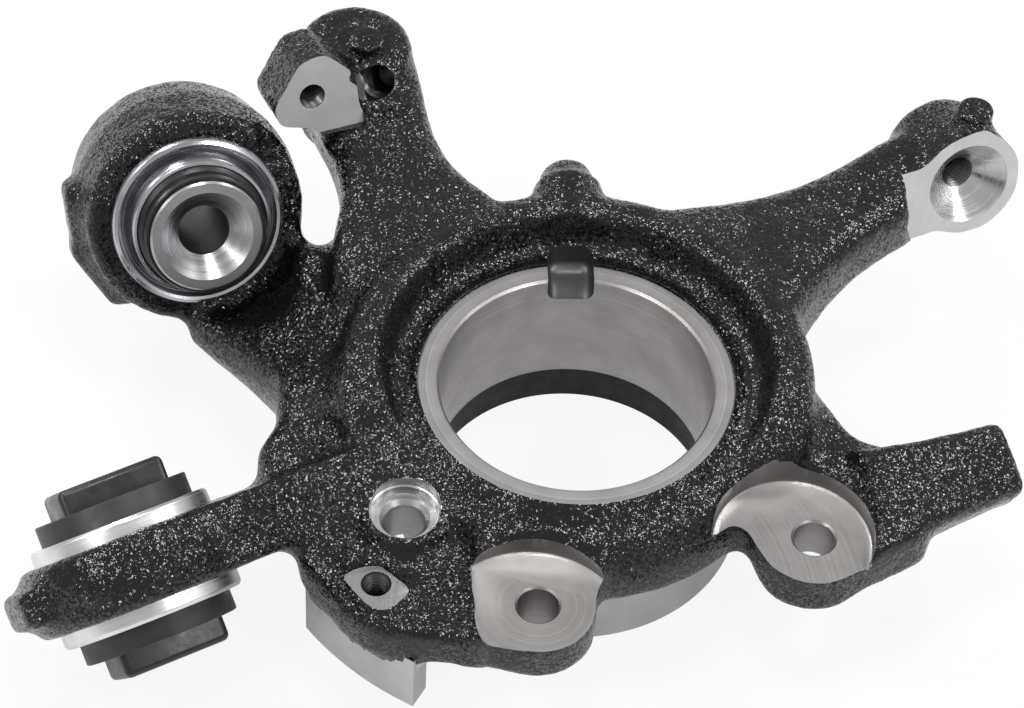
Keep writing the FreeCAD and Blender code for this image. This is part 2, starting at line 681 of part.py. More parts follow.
def joint_parts():
    """Cross-axis ball joint, on its own axis with the middle of the ball at level 0."""
    neck_level = JOINT_HALF_LENGTH - JOINT_FLANGE_LENGTH
    ball_edge = math.sqrt(JOINT_BALL_RADIUS ** 2 - JOINT_NECK_RADIUS ** 2)
    ball = Part.makeSphere(JOINT_BALL_RADIUS)
    neck = Part.makeCylinder(JOINT_NECK_RADIUS, 2 * neck_level, Vector(0, 0, -neck_level))
    sleeve = ball.fuse(neck)
    for sign in (-1, 1):
        flange = turned([
            (0, neck_level - 1.5, 0),
            (JOINT_NECK_RADIUS, neck_level - 1.5, 0),
            (JOINT_FLANGE_RADIUS, neck_level + 1.5, 0.6),
            (JOINT_FLANGE_RADIUS, JOINT_HALF_LENGTH, 0.6),
            (0, JOINT_HALF_LENGTH, 0),
        ])
        mouth = turned([
            (0, JOINT_HALF_LENGTH + 1, 0),
            (JOINT_MOUTH_RADIUS + 1, JOINT_HALF_LENGTH + 1, 0),
            (JOINT_BORE_RADIUS, JOINT_HALF_LENGTH - JOINT_MOUTH_DEPTH, 0),
            (0, JOINT_HALF_LENGTH - JOINT_MOUTH_DEPTH, 0),
        ])
        if sign < 0:
            flange.rotate(ORIGIN, Vector(1, 0, 0), 180)
            mouth.rotate(ORIGIN, Vector(1, 0, 0), 180)
        sleeve = sleeve.fuse(flange).cut(mouth)
    sleeve = sleeve.cut(through(JOINT_BORE_RADIUS, JOINT_HALF_LENGTH)).removeSplitter()

    liner = Part.makeCylinder(LINER_RADIUS, LINER_HALF_LENGTH)
    liner = liner.cut(Part.makeSphere(JOINT_BALL_RADIUS + JOINT_PLAY))

    face = BALL_EYE_LENGTH / 2
    mouth_level = face + CAN_NECK_LENGTH
    inner = CAN_NECK_RADIUS - CAN_WALL
    wide = CAN_RADIUS - 2 * CAN_WALL
    can = turned([
        (LINER_RADIUS, 0, 0),
        (CAN_RADIUS, 0, 0),
        (CAN_RADIUS, face, 0),
        (CAN_LIP_RADIUS, face, 0),
        (CAN_LIP_RADIUS, face + CAN_LIP_LENGTH, 1.4),
        (wide + 1.2, face + CAN_LIP_LENGTH, 0),
        (wide + 0.8, face + CAN_LIP_LENGTH - 1.0, 0),
        (wide, face + CAN_LIP_LENGTH - 1.0, 0),
        (CAN_NECK_RADIUS, mouth_level, 0.4),
        (inner, mouth_level, 0),
        (inner, mouth_level - 1.5, 0),
        (LINER_RADIUS, LINER_HALF_LENGTH, 0),
    ])
    can_back = turned([
        (LINER_RADIUS, 0, 0),
        (CAN_RADIUS, 0, 0),
        (CAN_RADIUS, face - 1.0, 1.0),
        (wide, face + CAN_WALL, 1.0),
        (CAN_NECK_RADIUS, mouth_level, 0.4),
        (inner, mouth_level, 0),
        (inner, mouth_level - 1.5, 0),
        (LINER_RADIUS, LINER_HALF_LENGTH, 0),
    ])
    can = can.fuse(can_back.mirror(ORIGIN, UP)).removeSplitter()

    boot_low = mouth_level - 5.0
    boot = turned([
        (JOINT_NECK_RADIUS + JOINT_PLAY, boot_low - 1.0, 0),
        (JOINT_NECK_RADIUS + 2.0, boot_low - 1.0, 0),
        (inner, boot_low + 1.0, 0),
        (inner, mouth_level - 0.8, 0),
        (inner - 1.4, mouth_level - 0.8, 0),
        (JOINT_NECK_RADIUS + 2.4, boot_low + 2.2, 1.2),
        (JOINT_NECK_RADIUS + JOINT_PLAY, boot_low + 2.2, 0),
    ])
    clamp = turned([
        (inner - 1.3, mouth_level - 0.8, 0),
        (inner, mouth_level - 0.8, 0),
        (inner, mouth_level + 0.4, 0),
        (inner - 1.3, mouth_level + 0.4, 0),
    ])
    return sleeve, liner, can, boot, clamp


def bush_parts():
    """Rubber bush, on its own axis with its middle at level 0."""
    shell_half = BUSH_EYE_LENGTH / 2 + SHELL_STANDOUT
    shell = Part.makeCylinder(SHELL_RADIUS, 2 * shell_half, Vector(0, 0, -shell_half))
    shell = shell.cut(through(SHELL_RADIUS - SHELL_WALL, shell_half))
    rubber_half = shell_half + RUBBER_STANDOUT
    rubber = Part.makeCylinder(SHELL_RADIUS - SHELL_WALL, 2 * shell_half, Vector(0, 0, -shell_half))
    rubber = rubber.fuse(Part.makeCylinder(RUBBER_RADIUS, 2 * rubber_half, Vector(0, 0, -rubber_half)))
    core = plate([
        (-CORE_WIDTH / 2, -CORE_DEPTH / 2, 4),
        (CORE_WIDTH / 2, -CORE_DEPTH / 2, 4),
        (CORE_WIDTH / 2, CORE_DEPTH / 2, 4),
        (-CORE_WIDTH / 2, CORE_DEPTH / 2, 4),
    ], -CORE_HALF_LENGTH, CORE_HALF_LENGTH)
    rubber = rubber.cut(core)
    core = core.cut(through(CORE_BORE_RADIUS, CORE_HALF_LENGTH))
    return shell, rubber, core


parts["carrier_casting"] = casting()
sleeve, liner, can, boot, clamp = joint_parts()
parts["ball_sleeve"] = moved(sleeve, ball_frame())
parts["joint_can"] = moved(can, ball_frame())
for name, shape in (("liner", liner), ("boot", boot), ("boot_clamp", clamp)):
    parts[name + "_front"] = moved(shape, ball_frame())
    parts[name + "_rear"] = moved(shape.mirror(ORIGIN, UP), ball_frame())
shell, rubber, core = bush_parts()
parts["bush_shell"] = moved(shell, bush_frame())
parts["bush_rubber"] = moved(rubber, bush_frame())
parts["bush_core"] = moved(core, bush_frame())

os.makedirs("parts", exist_ok=True)
for name, shape in parts.items():
    solids = shape.Solids
    volume = round(shape.Volume / 1000, 1)
    print(name, "valid", shape.isValid(), "solids", len(solids), "volume", volume, "cm3")
    target = solids[0] if len(solids) == 1 else shape
    target.exportStep("parts/" + name + ".step")
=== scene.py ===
import bpy
import math
import numpy as np
from mathutils import Matrix, Vector


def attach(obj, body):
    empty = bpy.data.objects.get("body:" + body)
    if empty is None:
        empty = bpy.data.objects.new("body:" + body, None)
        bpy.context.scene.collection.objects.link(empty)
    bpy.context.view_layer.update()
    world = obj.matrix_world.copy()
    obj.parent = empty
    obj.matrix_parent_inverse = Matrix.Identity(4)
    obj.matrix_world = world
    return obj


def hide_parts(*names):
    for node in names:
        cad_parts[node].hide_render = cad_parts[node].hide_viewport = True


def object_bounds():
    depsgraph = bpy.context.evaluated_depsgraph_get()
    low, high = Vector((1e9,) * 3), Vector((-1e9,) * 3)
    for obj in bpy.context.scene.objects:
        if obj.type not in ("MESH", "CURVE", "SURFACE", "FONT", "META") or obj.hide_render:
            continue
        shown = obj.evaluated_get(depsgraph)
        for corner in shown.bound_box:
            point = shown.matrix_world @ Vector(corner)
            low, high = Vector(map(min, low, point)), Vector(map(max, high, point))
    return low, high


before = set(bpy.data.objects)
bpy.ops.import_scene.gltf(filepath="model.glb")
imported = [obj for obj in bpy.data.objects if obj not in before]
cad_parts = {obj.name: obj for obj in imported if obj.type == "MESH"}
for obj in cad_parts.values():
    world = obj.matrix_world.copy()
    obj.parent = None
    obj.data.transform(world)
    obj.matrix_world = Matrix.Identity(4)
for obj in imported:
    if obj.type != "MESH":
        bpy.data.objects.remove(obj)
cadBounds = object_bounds()
mm = 0.001
print("frame loaded")

# axes and places of the machined features, in mm
upAxis = Vector((0, 0, 1))
sideAxis = Vector((0.38, -0.88, 0.27)).normalized()
ballAxis = Vector((0.30, -0.85, 0.43)).normalized()
bushAxis = Vector((-0.41, 0.69, 0.60)).normalized()
lugAxis = Vector((-0.24, -0.81, 0.53)).normalized()
slotAzimuth = math.radians(93.8)
slotAxis = Vector((math.cos(slotAzimuth), math.sin(slotAzimuth), 0))
hubCentre = Vector((0, 0, 0))
taperCentre = Vector((134.1, 105.3, -5.0))
padCentre = Vector((-93.8, 96.4, 29.5))
lugCentre = Vector((-73.5, 112.0, 22.0))
eyeFace = Vector((-130.0, 60.4, 4.0))
eyeHalfLength = 20.0
ballCentre = eyeFace - ballAxis * eyeHalfLength
bushCentre = Vector((-138.0, -66.5, -25.0))
nearEar = Vector((-9.1, -82.2, -12.0))
farEar = Vector((78.3, -49.5, -12.0))
stepHole = Vector((-53.0, -50.5, -9.0))
smallHole = Vector((-60.4, -77.4, -12.0))

weldDistance = 1e-6      # metres
roundShare = 0.3         # a rounded corner's middle point lies this share of its radius inside
facingAxis = 0.995       # least cosine between the normal of a milled face and its axis
noiseRoughness = 0.6
cornerAngle = 30         # degrees: sharper corners than this are bevelled


def clearSelection():
    if bpy.context.object and bpy.context.object.mode != "OBJECT":
        bpy.ops.object.mode_set(mode="OBJECT")
    bpy.ops.object.select_all(action="DESELECT")


def pick(piece):
    clearSelection()
    piece.select_set(True)
    bpy.context.view_layer.objects.active = piece


def joinTo(piece, others):
    clearSelection()
    for other in others:
        other.select_set(True)
    piece.select_set(True)
    bpy.context.view_layer.objects.active = piece
    bpy.ops.object.join()


def place(origin, axis, lean=upAxis):
    # +Z along the axis, +Y leaning the given way, as the CAD places its turned features
    zDir = axis.normalized()
    xDir = lean.cross(zDir)
    xDir = xDir.normalized() if xDir.length > 1e-6 else Vector((1, 0, 0))
    yDir = zDir.cross(xDir)
    turn = Matrix((xDir, yDir, zDir)).transposed().to_4x4()
    return Matrix.Translation(origin * mm) @ turn


def settle(piece, where=None):
    # the piece keeps its place in its mesh, and its object sits at the origin
    if where is not None:
        piece.matrix_world = where @ piece.matrix_world
    pick(piece)
    bpy.ops.object.transform_apply(location=True, rotation=True, scale=True)
    return piece


def applied(piece, kind, **settings):
    pick(piece)
    modifier = piece.modifiers.new(kind.lower(), kind)
    for key, value in settings.items():
        setattr(modifier, key, value)
    bpy.ops.object.modifier_apply(modifier=modifier.name)


def remeshed(piece, voxel):
    applied(piece, "REMESH", mode="VOXEL", voxel_size=voxel * mm)


def bevelled(piece, width, segments, angle=cornerAngle):
    applied(piece, "BEVEL", width=width * mm, segments=segments, limit_method="ANGLE",
            angle_limit=math.radians(angle))


def smoothShaded(piece, angle):
    pick(piece)
    bpy.ops.object.shade_smooth_by_angle(angle=math.radians(angle))


def closeMesh():
    # in edit mode: weld the whole mesh and turn its faces outwards
    bpy.ops.mesh.select_all(action="SELECT")
    bpy.ops.mesh.remove_doubles(threshold=weldDistance)
    bpy.ops.mesh.normals_make_consistent(inside=False)
    bpy.ops.object.mode_set(mode="OBJECT")


def turnPiece(name, corners, where=None, ring=False, segments=96):
    # corners are (radius, level) in mm, followed from the first disc or loop to the last one
    clearSelection()
    radius, level = corners[0]
    bpy.ops.mesh.primitive_circle_add(
        vertices=segments, radius=radius * mm, location=(0, 0, level * mm),
        fill_type="NOTHING" if ring else "NGON")
    piece = bpy.context.object
    piece.name = name
    bpy.ops.object.mode_set(mode="EDIT")
    bpy.ops.mesh.select_mode(type="VERT")
    bpy.ops.mesh.select_all(action="SELECT")
    for nextRadius, nextLevel in list(corners[1:]) + ([corners[0]] if ring else []):
        bpy.ops.mesh.extrude_region_move(
            TRANSFORM_OT_translate={"value": (0, 0, (nextLevel - level) * mm)})
        share = nextRadius / radius
        bpy.ops.transform.resize(value=(share, share, 1), center_override=(0, 0, 0))
        radius, level = nextRadius, nextLevel
    closeMesh()
    return settle(piece, where)


def rod(name, radius, low, high, centre, axis):
    return turnPiece(name, [(radius, low), (radius, high)], place(centre, axis))


def boxCutter(name, low, high, where):
    clearSelection()
    bpy.ops.mesh.primitive_cube_add(size=1)
    cutter = bpy.context.object
    cutter.name = name
    size = Vector(high) - Vector(low)
    middle = (Vector(high) + Vector(low)) / 2
    scale = Matrix.Diagonal((*(size * mm), 1))
    cutter.matrix_world = where @ Matrix.Translation(middle * mm) @ scale
    return settle(cutter)


def combine(piece, tool, how):
    before = len(piece.data.vertices)
    applied(piece, "BOOLEAN", operation=how, solver="MANIFOLD", object=tool)
    if len(piece.data.vertices) in (0, before):
        print("boolean had no effect:", tool.name, how)
    bpy.data.objects.remove(tool)


def added(piece, tool):
    combine(piece, tool, "UNION")


def cutAway(piece, tool):
    combine(piece, tool, "DIFFERENCE")


def nodeCopy(nodeName, newName):
    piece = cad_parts[nodeName].copy()
    piece.data = piece.data.copy()
    piece.name = newName
    bpy.context.scene.collection.objects.link(piece)
    pick(piece)
    bpy.ops.object.mode_set(mode="EDIT")
    bpy.ops.mesh.select_all(action="SELECT")
    bpy.ops.mesh.remove_doubles(threshold=weldDistance)
    bpy.ops.object.mode_set(mode="OBJECT")
    return piece


def facesOf(piece):
    # middles in mm and normals of the faces
    mesh = piece.data
    centres = np.empty(len(mesh.polygons) * 3)
    normals = np.empty(len(mesh.polygons) * 3)
    mesh.polygons.foreach_get("center", centres)
    mesh.polygons.foreach_get("normal", normals)
    return centres.reshape(-1, 3) / mm, normals.reshape(-1, 3)


def alongAndOff(centres, origin, axis):
    # how far each point lies along an axis, and away from it
    away = centres - np.array(origin)
    level = away @ np.array(axis)
    return level, np.sqrt(np.maximum((away ** 2).sum(1) - level ** 2, 0))


def within(centres, origin, axis, reach, low, high):
    level, off = alongAndOff(centres, origin, axis)
    return (off < reach) & (level > low) & (level < high)


def inPlane(faces, origin, axis, reach, slack=0.03):
    # faces that lie in a plane, within a distance of a point
    centres, normals = faces
    level, off = alongAndOff(centres, origin, axis)
    return (abs(level) < slack) & (normals @ np.array(axis) > facingAxis) & (off < reach)


def selectFaces(piece, mask):
    pick(piece)
    bpy.ops.object.mode_set(mode="EDIT")
    bpy.ops.mesh.select_mode(type="FACE")
    bpy.ops.mesh.select_all(action="DESELECT")
    bpy.ops.object.mode_set(mode="OBJECT")
    piece.data.polygons.foreach_set("select", mask)
    bpy.ops.object.mode_set(mode="EDIT")


def raiseFace(piece, origin, axis, reach, height):
    # machined faces go up before the skin is softened, and are cut back to their level after
    mask = inPlane(facesOf(piece), origin, axis, reach)
    if not mask.any():
        print("no face to raise near", tuple(origin))
        return
    selectFaces(piece, mask)
    bpy.ops.mesh.extrude_region_move(
        TRANSFORM_OT_translate={"value": tuple(axis * height * mm)})
    bpy.ops.object.mode_set(mode="OBJECT")


def noiseField(tree, scale, detail):
    # object coordinates, so that a pattern keeps its size and place
    coords = tree.nodes.new("ShaderNodeTexCoord")
    noise = tree.nodes.new("ShaderNodeTexNoise")
    noise.inputs["Scale"].default_value = scale
    noise.inputs["Detail"].default_value = detail
    noise.inputs["Roughness"].default_value = noiseRoughness
    tree.links.new(coords.outputs["Object"], noise.inputs["Vector"])
    return noise.outputs["Fac"]


def ramp(tree, value, stops):
    node = tree.nodes.new("ShaderNodeValToRGB")
    while len(node.color_ramp.elements) < len(stops):
        node.color_ramp.elements.new(0.5)
    for element, (position, shade) in zip(node.color_ramp.elements, stops):
        element.position = position
        element.color = (*shade, 1) if isinstance(shade, tuple) else (shade, shade, shade, 1)
    tree.links.new(value, node.inputs["Fac"])
    return node.outputs["Color"]


def bumped(tree, height, distance, strength):
    bump = tree.nodes.new("ShaderNodeBump")
    bump.inputs["Strength"].default_value = strength
    bump.inputs["Distance"].default_value = distance
    tree.links.new(height, bump.inputs["Height"])
    return bump.outputs["Normal"]


def newMaterial(name, metallic, roughness, colour):
    material = bpy.data.materials.new(name)
    material.use_nodes = True
    shader = material.node_tree.nodes["Principled BSDF"]
    shader.inputs["Metallic"].default_value = metallic
    shader.inputs["Roughness"].default_value = roughness
    shader.inputs["Base Color"].default_value = (*colour, 1)
    return material, material.node_tree, shader


# each noise is (size per metre, detail)
castPaint = {
    "colour": (0.003, 0.003, 0.0035),
    "dust": (0.005, 0.005, 0.0055),
    "dustNoise": (45, 4),
    "dustEdges": (0.35, 0.7),
    "roughness": (0.09, 0.17),
    "roughNoise": (260, 3),
    "roughEdges": (0.3, 0.75),
    "specular": 0.45,
    "grainSize": 1450,       # grains per metre
    "grainLean": 0.90,
    "patchNoise": (42, 2),
    "patchEdges": (0.40, 0.60),
    "calmLean": 0.30,        # share of the lean that is left between the rough patches
    "pitNoise": (420, 2),
    "pitHeight": 0.0006,
    "pitStrength": 0.8,
}


def castPaintFinish(name):
    # each grain of the sand leans its own way under the paint, more so in some patches
    paint = castPaint
    material, tree, shader = newMaterial(name, 0.0, 0.3, paint["colour"])
    shader.inputs["Specular IOR Level"].default_value = paint["specular"]

    def field(noise, edges, shades):
        return ramp(tree, noiseField(tree, *paint[noise]), list(zip(paint[edges], shades)))

    tree.links.new(field("dustNoise", "dustEdges", (paint["colour"], paint["dust"])),
                   shader.inputs["Base Color"])
    tree.links.new(field("roughNoise", "roughEdges", paint["roughness"]),
                   shader.inputs["Roughness"])
    coords = tree.nodes.new("ShaderNodeTexCoord")
    grains = tree.nodes.new("ShaderNodeTexVoronoi")
    grains.inputs["Scale"].default_value = paint["grainSize"]
    tree.links.new(coords.outputs["Object"], grains.inputs["Vector"])
    patches = field("patchNoise", "patchEdges", (paint["calmLean"], 1.0))
    pits = bumped(tree, noiseField(tree, *paint["pitNoise"]), paint["pitHeight"],
                  paint["pitStrength"])
    # (grain colour - 0.5) * patch * lean + normal
    lean = grains.outputs["Color"]
    steps = (("SUBTRACT", (0.5, 0.5, 0.5)), ("MULTIPLY", patches),
             ("MULTIPLY", (paint["grainLean"],) * 3), ("ADD", pits), ("NORMALIZE", None))
    for operation, other in steps:
        node = tree.nodes.new("ShaderNodeVectorMath")
        node.operation = operation
        tree.links.new(lean, node.inputs[0])
        if isinstance(other, tuple):
            node.inputs[1].default_value = other
        elif other is not None:
            tree.links.new(other, node.inputs[1])
        lean = node.outputs["Vector"]
    tree.links.new(lean, shader.inputs["Normal"])
    return material


turnedIron = {
    "ringsPerMetre": 1500,
    "ringDetail": 3,
    "stainNoise": (70, 4),
    "stainEdges": (0.3, 0.7),
    "ringEdges": (0.3, 0.7),
    "ringGloss": (-0.08, 0.10),      # what the marks take from the roughness and add to it
    "ringHeight": 0.00002,
    "ringStrength": 0.35,
}
colourMix = {"share": 0, "dark": 6, "light": 7, "result": 2}     # sockets of a colour mix


def turnedIronFinish(name, colour, dark, roughness, origin, axis, metallic=1.0):
    # turning marks run round the axis: the pattern only changes along it and away from it
    iron = turnedIron
    material, tree, shader = newMaterial(name, metallic, roughness, colour)
    coords = tree.nodes.new("ShaderNodeTexCoord")
    mapping = tree.nodes.new("ShaderNodeMapping")
    mapping.vector_type = "TEXTURE"
    where = place(origin, axis)
    mapping.inputs["Location"].default_value = where.to_translation()
    mapping.inputs["Rotation"].default_value = where.to_euler()
    tree.links.new(coords.outputs["Object"], mapping.inputs["Vector"])
    split = tree.nodes.new("ShaderNodeSeparateXYZ")
    tree.links.new(mapping.outputs["Vector"], split.inputs["Vector"])
    flat = tree.nodes.new("ShaderNodeCombineXYZ")
    tree.links.new(split.outputs["X"], flat.inputs["X"])
    tree.links.new(split.outputs["Y"], flat.inputs["Y"])
    reach = tree.nodes.new("ShaderNodeVectorMath")
    reach.operation = "LENGTH"
    tree.links.new(flat.outputs["Vector"], reach.inputs[0])
    rings = tree.nodes.new("ShaderNodeCombineXYZ")
    tree.links.new(reach.outputs["Value"], rings.inputs["X"])
    tree.links.new(split.outputs["Z"], rings.inputs["Y"])
    marks = tree.nodes.new("ShaderNodeTexNoise")
    marks.inputs["Scale"].default_value = iron["ringsPerMetre"]
    marks.inputs["Detail"].default_value = iron["ringDetail"]
    tree.links.new(rings.outputs["Vector"], marks.inputs["Vector"])
    stains = ramp(tree, noiseField(tree, *iron["stainNoise"]),
                  list(zip(iron["stainEdges"], (0.0, 1.0))))
    mix = tree.nodes.new("ShaderNodeMix")
    mix.data_type = "RGBA"
    mix.inputs[colourMix["dark"]].default_value = (*dark, 1)
    mix.inputs[colourMix["light"]].default_value = (*colour, 1)
    tree.links.new(stains, mix.inputs[colourMix["share"]])
    tree.links.new(mix.outputs[colourMix["result"]], shader.inputs["Base Color"])
    gloss = [roughness + change for change in iron["ringGloss"]]
    tree.links.new(ramp(tree, marks.outputs["Fac"], list(zip(iron["ringEdges"], gloss))),
                   shader.inputs["Roughness"])
    tree.links.new(bumped(tree, marks.outputs["Fac"], iron["ringHeight"], iron["ringStrength"]),
                   shader.inputs["Normal"])
    return material


rubberSkin = {
    "roughNoise": (160, 4),
    "roughEdges": (0.3, 0.75),
    "roughChange": (-0.10, 0.12),
    "paleNoise": (90, 5),
    "paleEdges": (0.4, 0.8),
    "paleShare": 2.2,
    "grainNoise": (1400, 2),
    "grainHeight": 0.0001,
    "grainStrength": 0.25,
}


def rubberFinish(name, colour, roughness):
    skin = rubberSkin
    material, tree, shader = newMaterial(name, 0.0, roughness, colour)
    gloss = [roughness + change for change in skin["roughChange"]]
    tree.links.new(ramp(tree, noiseField(tree, *skin["roughNoise"]),
                        list(zip(skin["roughEdges"], gloss))), shader.inputs["Roughness"])
    pale = tuple(min(1.0, part * skin["paleShare"]) for part in colour)
    tree.links.new(ramp(tree, noiseField(tree, *skin["paleNoise"]),
                        list(zip(skin["paleEdges"], (colour, pale)))), shader.inputs["Base Color"])
    tree.links.new(bumped(tree, noiseField(tree, *skin["grainNoise"]), skin["grainHeight"],
                          skin["grainStrength"]), shader.inputs["Normal"])
    return material


turnedFinishes = [
    # name, colour, colour of the stains, roughness, centre and axis of the marks, metallic
    ("seatIron", (0.43, 0.42, 0.415), (0.34, 0.33, 0.325), 0.38, hubCentre, upAxis, 1.0),
    ("earIron", (0.33, 0.32, 0.315), (0.26, 0.25, 0.247), 0.38, nearEar, upAxis, 1.0),
    ("sideIron", (0.62, 0.62, 0.63), (0.54, 0.54, 0.55), 0.45, padCentre, sideAxis, 1.0),
    ("taperIron", (0.62, 0.62, 0.63), (0.50, 0.50, 0.51), 0.24, taperCentre, sideAxis, 1.0),
    # painted light: a lighter copy of the bare iron for the step hole, which sits in shadow
    ("stepIron", (0.50, 0.495, 0.49), (0.42, 0.415, 0.41), 0.32, stepHole, upAxis, 1.0),
    ("padIron", (0.62, 0.62, 0.63), (0.52, 0.52, 0.53), 0.42, padCentre, sideAxis, 0.25),
    # painted shade: a dark copy of the bare iron for the walls of the threaded holes
    ("threadIron", (0.17, 0.17, 0.17), (0.10, 0.10, 0.10), 0.34, lugCentre, lugAxis, 1.0),
    ("footIron", (0.54, 0.535, 0.53), (0.45, 0.445, 0.44), 0.36, Vector((0, 0, -50)), upAxis, 1.0),
    ("sleeveSteel", (0.42, 0.42, 0.43), (0.32, 0.32, 0.33), 0.28, ballCentre, ballAxis, 1.0),
    # painted shade inside the sleeve's bore; the slot in the casting has this dark finish as its
    # own colour
    ("boreShadeAndSlotFinish", (0.16, 0.16, 0.165), (0.10, 0.10, 0.10), 0.45, ballCentre, ballAxis, 1.0),
    ("canSteel", (0.66, 0.67, 0.70), (0.40, 0.41, 0.43), 0.20, ballCentre, ballAxis, 1.0),
    # painted shade: a darker copy of the can's steel for the funnel inside its mouth
    ("funnelPaintedShade", (0.36, 0.36, 0.38), (0.20, 0.20, 0.21), 0.24, ballCentre, ballAxis, 1.0),
    ("shellSteel", (0.78, 0.78, 0.80), (0.62, 0.62, 0.64), 0.30, bushCentre, bushAxis, 1.0),
]
plainFinishes = [
    # name, colour, roughness
    ("reliefPaint", (0.004, 0.004, 0.004), 0.62),
    ("bootRubber", (0.006, 0.006, 0.007), 0.34),
    ("bushRubber", (0.016, 0.016, 0.018), 0.48),
    ("corePlastic", (0.010, 0.010, 0.012), 0.34),
    ("linerPlastic", (0.62, 0.60, 0.55), 0.5),
]
finishes = {"castPaint": castPaintFinish("castPaint")}
for row in turnedFinishes:
    finishes[row[0]] = turnedIronFinish(*row)
for row in plainFinishes:
    finishes[row[0]] = rubberFinish(*row)
print("finishes ready")


castSkin = {
    "closing": 3.0,          # mm: radius of the cast fillets
    "coarseVoxel": 1.6,
    "fineVoxel": 1.35,
    "softRounds": 4,
    "softShare": 0.5,
    "crispBox": ((-24, -32, -30), (17.4, 24, 12)),
    "crispSeam": 0.8,
    "lumpSize": 0.006,
    "lumpHeight": 0.0005,
}
raisedFaces = [
    # centre, axis, reach, height of the stock that is cut back after
    (nearEar, upAxis, 33, 2.5),
    (farEar, upAxis, 33, 2.5),
    (smallHole, upAxis, 14, 2.0),
    (taperCentre, sideAxis, 29, 2.5),
    (padCentre, sideAxis, 34, 2.5),
]
holePlugs = [
    # name, radius, low, high, centre, axis: each hole is cast solid and drilled after
    ("hubPlug", 53.0, -63, 2.6, hubCentre, upAxis),
    ("nearPlug", 8.5, -26.5, 2.0, nearEar, upAxis),
    ("farPlug", 8.5, -15.5, 2.0, farEar, upAxis),
    ("stepPlug", 13.4, -19.5, 1.4, stepHole, upAxis),
    ("smallPlug", 5.5, -14.0, 1.6, smallHole, upAxis),
    ("taperPlug", 16.0, -25.0, 2.2, taperCentre, sideAxis),
    ("padPlug", 5.0, -18.0, 2.2, padCentre, sideAxis),
]
lug = {
    "centre": Vector((-81.5, 129.0, 6.0)), "radius": 20.0, "half": 20.0, "round": 6.0,
    "plug": (7.4, -26.0, 24.0),          # radius, low, high
    "blockPlug": (7.4, -3.0, 24.0),
    "blockBox": ((4, -24, -23), (16.3, 1, 2.5)),
}
eyePlugs = [
    # name, radius, low, high, centre, axis: both eyes, and the boss under the slot
    ("ballPlug", 29.0, -18.5, 18.5, ballCentre, ballAxis),
    ("bushPlug", 31.0, -11.0, 11.0, bushCentre, bushAxis),
    ("slotBoss", 12.3, 62.0, 84.0, Vector((0, 0, 3.2)), slotAxis),
]


def lugPlugs():
    # fill the hole and its mouth, in the lug up to its rounded end and in the block beside it
    size, half, edge = lug["radius"], lug["half"], lug["round"]
    inset = roundShare * edge
    plug = rod("lugPlug", *lug["plug"], lugCentre, lugAxis)
    shape = turnPiece("lugShape", [
        (size, -half), (size, half - edge), (size - inset, half - inset), (size - edge, half)],
        place(lug["centre"], upAxis))
    combine(plug, shape, "INTERSECT")
    side = rod("blockPlug", *lug["blockPlug"], lugCentre, lugAxis)
    box = boxCutter("blockShape", *lug["blockBox"], place(padCentre, sideAxis))
    combine(side, box, "INTERSECT")
    return [plug, side]


def castBlank():
    skin = nodeCopy("carrier_casting", "castingSkin")
    for row in raisedFaces:
        raiseFace(skin, *row)
    plugs = [rod(*row) for row in holePlugs] + lugPlugs() + [rod(*row) for row in eyePlugs]
    joinTo(skin, plugs)
    crisp = skin.copy()
    crisp.data = skin.data.copy()
    bpy.context.scene.collection.objects.link(crisp)
    remeshed(crisp, castSkin["fineVoxel"])
    # swelling and shrinking the skin leaves a fillet in each inner corner
    swell = castSkin["closing"] * mm
    remeshed(skin, castSkin["coarseVoxel"])
    applied(skin, "DISPLACE", strength=swell, mid_level=0.0)
    remeshed(skin, castSkin["coarseVoxel"])
    applied(skin, "DISPLACE", strength=-swell, mid_level=0.0)
    # the bracket block keeps its own edges and its gap to the eye
    low, high = castSkin["crispBox"]
    seam = castSkin["crispSeam"]
    padPlace = place(padCentre, sideAxis)
    cutAway(skin, boxCutter("crispCut", low, high, padPlace))
    combine(crisp, boxCutter("crispKeep", [side - seam for side in low],
                             [side + seam for side in high], padPlace), "INTERSECT")
    joinTo(skin, [crisp])
    remeshed(skin, castSkin["fineVoxel"])
    applied(skin, "SMOOTH", factor=castSkin["softShare"], iterations=castSkin["softRounds"])
    lumps = bpy.data.textures.new("castLumps", "CLOUDS")
    lumps.noise_scale = castSkin["lumpSize"]
    applied(skin, "DISPLACE", texture=lumps, texture_coords="LOCAL",
            strength=castSkin["lumpHeight"], mid_level=0.5)
    print("cast skin", len(skin.data.polygons), "faces")
    return skin


